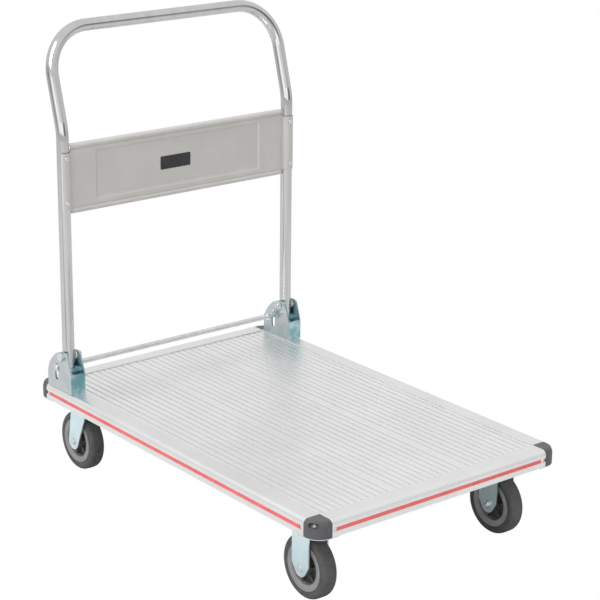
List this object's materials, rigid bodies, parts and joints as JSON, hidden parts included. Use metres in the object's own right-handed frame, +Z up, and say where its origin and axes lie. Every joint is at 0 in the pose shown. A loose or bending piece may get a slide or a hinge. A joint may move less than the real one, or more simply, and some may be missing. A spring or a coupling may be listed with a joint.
{
  "type": "flatbed platform truck",
  "caption": "Platform truck with a railed aluminium plank deck, folding tube handle with sheet panel, release bar, rigid and swivel casters.",
  "frame": {"origin": "on the floor under the centre of the deck", "axes": "+Z up, +X forward away from the handle, +Y to the left when walking forward"},
  "size_m": [0.94, 0.6178, 0.9577],
  "materials": {
    "deck_aluminium": "satin",
    "rail_aluminium": "satin",
    "channel_aluminium": "mill",
    "stripe_red": "gloss",
    "guard_plastic": "fine texture",
    "gusset_steel": "zinc plated",
    "screw_steel": "zinc plated",
    "zinc_steel": "blue zinc plated",
    "fastener_zinc": "zinc plated",
    "ball_steel": "polished",
    "sleeve_steel": "plain",
    "washer_nylon": "moulded",
    "hub_plastic": "moulded",
    "tyre_rubber": "matt",
    "handle_chrome": "bright",
    "plug_plastic": "moulded",
    "panel_paint": "satin",
    "rivet_aluminium": "plain",
    "label_black": "gloss",
    "rod_zinc": "zinc plated",
    "spring_steel": "zinc plated"
  },
  "bodies": {
    "deck": {"bracket_bolts": "fastener_zinc", "caster_bolts": "fastener_zinc", "corner_guard_front_left": "guard_plastic", "corner_guard_front_right": "guard_plastic", "corner_guard_rear_left": "guard_plastic", "corner_guard_rear_right": "guard_plastic", "corner_gussets": "gusset_steel", "cross_channel_front": "channel_aluminium", "cross_channel_middle": "channel_aluminium", "cross_channel_rear": "channel_aluminium", "deck_plank_left": "deck_aluminium", "deck_plank_middle": "deck_aluminium", "deck_plank_right": "deck_aluminium", "end_rail_front": "rail_aluminium", "end_rail_rear": "rail_aluminium", "frame_screws": "screw_steel", "front_axle_bolts": "fastener_zinc", "front_sleeves": "sleeve_steel", "guard_screws": "screw_steel", "handle_bracket_left": "zinc_steel", "handle_bracket_right": "zinc_steel", "pivot_bolts": "fastener_zinc", "pivot_nuts": "fastener_zinc", "pivot_washers": "washer_nylon", "return_spring_left": "spring_steel", "return_spring_right": "spring_steel", "rigid_fork_left": "zinc_steel", "rigid_fork_right": "zinc_steel", "side_rail_left": "rail_aluminium", "side_rail_right": "rail_aluminium", "stripe_front": "stripe_red", "stripe_left": "stripe_red", "stripe_rear": "stripe_red", "stripe_right": "stripe_red", "swivel_balls": "ball_steel", "swivel_kingpins": "fastener_zinc", "swivel_plate_left": "zinc_steel", "swivel_plate_right": "zinc_steel"},
    "handle": {"handle_tube": "handle_chrome", "tube_plugs": "plug_plastic", "handle_panel": "panel_paint", "panel_rivets": "rivet_aluminium", "label_plate": "label_black"},
    "release_bar": {"release_rod": "rod_zinc", "rod_collars": "rod_zinc", "rod_clips": "rod_zinc"},
    "front_wheel_left": {"front_hub_left": "hub_plastic", "front_tyre_left": "tyre_rubber"},
    "swivel_left": {"swivel_fork_left": "zinc_steel", "rear_sleeve_left": "sleeve_steel", "rear_axle_bolt_left": "fastener_zinc"},
    "rear_wheel_left": {"rear_hub_left": "hub_plastic", "rear_tyre_left": "tyre_rubber"},
    "front_wheel_right": {"front_hub_right": "hub_plastic", "front_tyre_right": "tyre_rubber"},
    "swivel_right": {"swivel_fork_right": "zinc_steel", "rear_sleeve_right": "sleeve_steel", "rear_axle_bolt_right": "fastener_zinc"},
    "rear_wheel_right": {"rear_hub_right": "hub_plastic", "rear_tyre_right": "tyre_rubber"}
  },
  "joints": [
    {"name": "handle_fold", "type": "hinge", "parent": "deck", "child": "handle", "pos_m": [-0.3725, 0, 0.272], "axis": [0, 1, 0], "range_deg": [0, 97.5]},
    {"name": "release_bar_slide", "type": "slide", "parent": "deck", "child": "release_bar", "axis": [0, 0, 1], "range_m": [-0.022, 0], "stiffness_N_per_m": 1500, "springref_m": 0.012, "deforming": ["return_spring_left", "return_spring_right"]},
    {"name": "swivel_left_turn", "type": "hinge", "parent": "deck", "child": "swivel_left", "pos_m": [-0.366, 0.2373, 0.15], "axis": [0, 0, 1], "continuous": true},
    {"name": "rear_wheel_left_roll", "type": "hinge", "parent": "swivel_left", "child": "rear_wheel_left", "pos_m": [-0.403, 0.2373, 0.0635], "axis": [0, 1, 0], "continuous": true},
    {"name": "front_wheel_left_roll", "type": "hinge", "parent": "deck", "child": "front_wheel_left", "pos_m": [0.37, 0.2373, 0.0635], "axis": [0, 1, 0], "continuous": true},
    {"name": "swivel_right_turn", "type": "hinge", "parent": "deck", "child": "swivel_right", "pos_m": [-0.366, -0.2373, 0.15], "axis": [0, 0, 1], "continuous": true},
    {"name": "rear_wheel_right_roll", "type": "hinge", "parent": "swivel_right", "child": "rear_wheel_right", "pos_m": [-0.403, -0.2373, 0.0635], "axis": [0, 1, 0], "continuous": true},
    {"name": "front_wheel_right_roll", "type": "hinge", "parent": "deck", "child": "front_wheel_right", "pos_m": [0.37, -0.2373, 0.0635], "axis": [0, 1, 0], "continuous": true}
  ]
}
